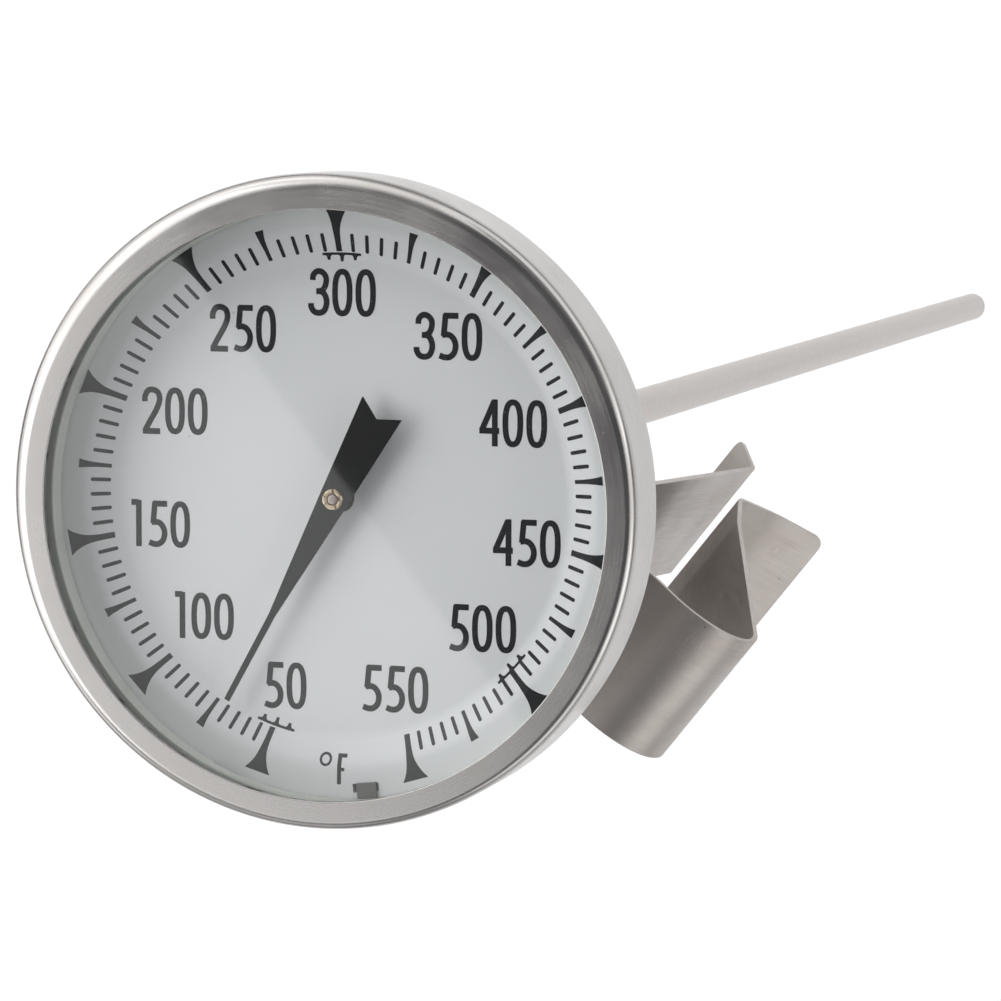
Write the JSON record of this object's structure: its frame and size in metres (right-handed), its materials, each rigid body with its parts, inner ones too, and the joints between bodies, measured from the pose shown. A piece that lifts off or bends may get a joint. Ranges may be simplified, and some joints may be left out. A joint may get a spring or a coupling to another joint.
{
  "type": "dial thermometer",
  "caption": "Long-stem bimetal dial thermometer: round crimped head with glass lens and turning pointer, hexagonal calibration bush, thin probe stem and a sliding spring clip for a pan wall.",
  "frame": {"origin": "middle of the flat jaw face on the clip's inner leg, where the wall of a pan bears", "axes": "+Z runs along the stem from its tip up to the dial, whose face looks up; +X is the way the clip reaches out from the stem; the stem's axis is 15.9 mm along -X"},
  "size_m": [0.0667, 0.0618, 0.3188],
  "materials": {
    "satin_steel": "satin, spun",
    "stem_steel": "satin",
    "clip_steel": "brushed spring steel",
    "plain_steel": "turned",
    "lens_glass": "clear, polished",
    "dial_enamel": "matt white enamel with black marks",
    "black_paint": "satin black",
    "brass": "turned",
    "rubber": "matt",
    "bimetal_strip": "rolled"
  },
  "bodies": {
    "clip": {"pan_clip": "clip_steel"},
    "stem": {"stem_tube": "stem_steel", "tip_plug": "stem_steel", "hex_bush": "plain_steel", "seal_ring": "rubber", "friction_washer": "plain_steel", "retaining_ring": "plain_steel", "upper_bushing": "brass", "lower_bushing": "brass", "bimetal_helix": "bimetal_strip", "helix_anchor": "brass"},
    "head": {"case_shell": "satin_steel", "bezel_ring": "satin_steel", "lens": "lens_glass", "lens_gasket": "rubber", "spacer_ring": "plain_steel", "dial_plate": "dial_enamel"},
    "movement": {"pointer": "black_paint", "pointer_hub": "brass", "shaft": "plain_steel", "helix_collar": "brass"}
  },
  "joints": [
    {"name": "clip_slide", "type": "slide", "parent": "clip", "child": "stem", "axis": [0, 0, 1], "range_m": [-0.0088, 0.25]},
    {"name": "head_turn", "type": "hinge", "parent": "stem", "child": "head", "pos_m": [-0.01587, 0, 0.05607], "axis": [0, 0, 1], "continuous": true},
    {"name": "pointer_turn", "type": "hinge", "parent": "stem", "child": "movement", "pos_m": [-0.01587, 0, 0.06907], "axis": [0, 0, -1], "range_deg": [-12, 314.4], "stiffness_Nm_per_rad": 0.00038, "deforming": ["bimetal_helix"]}
  ]
}
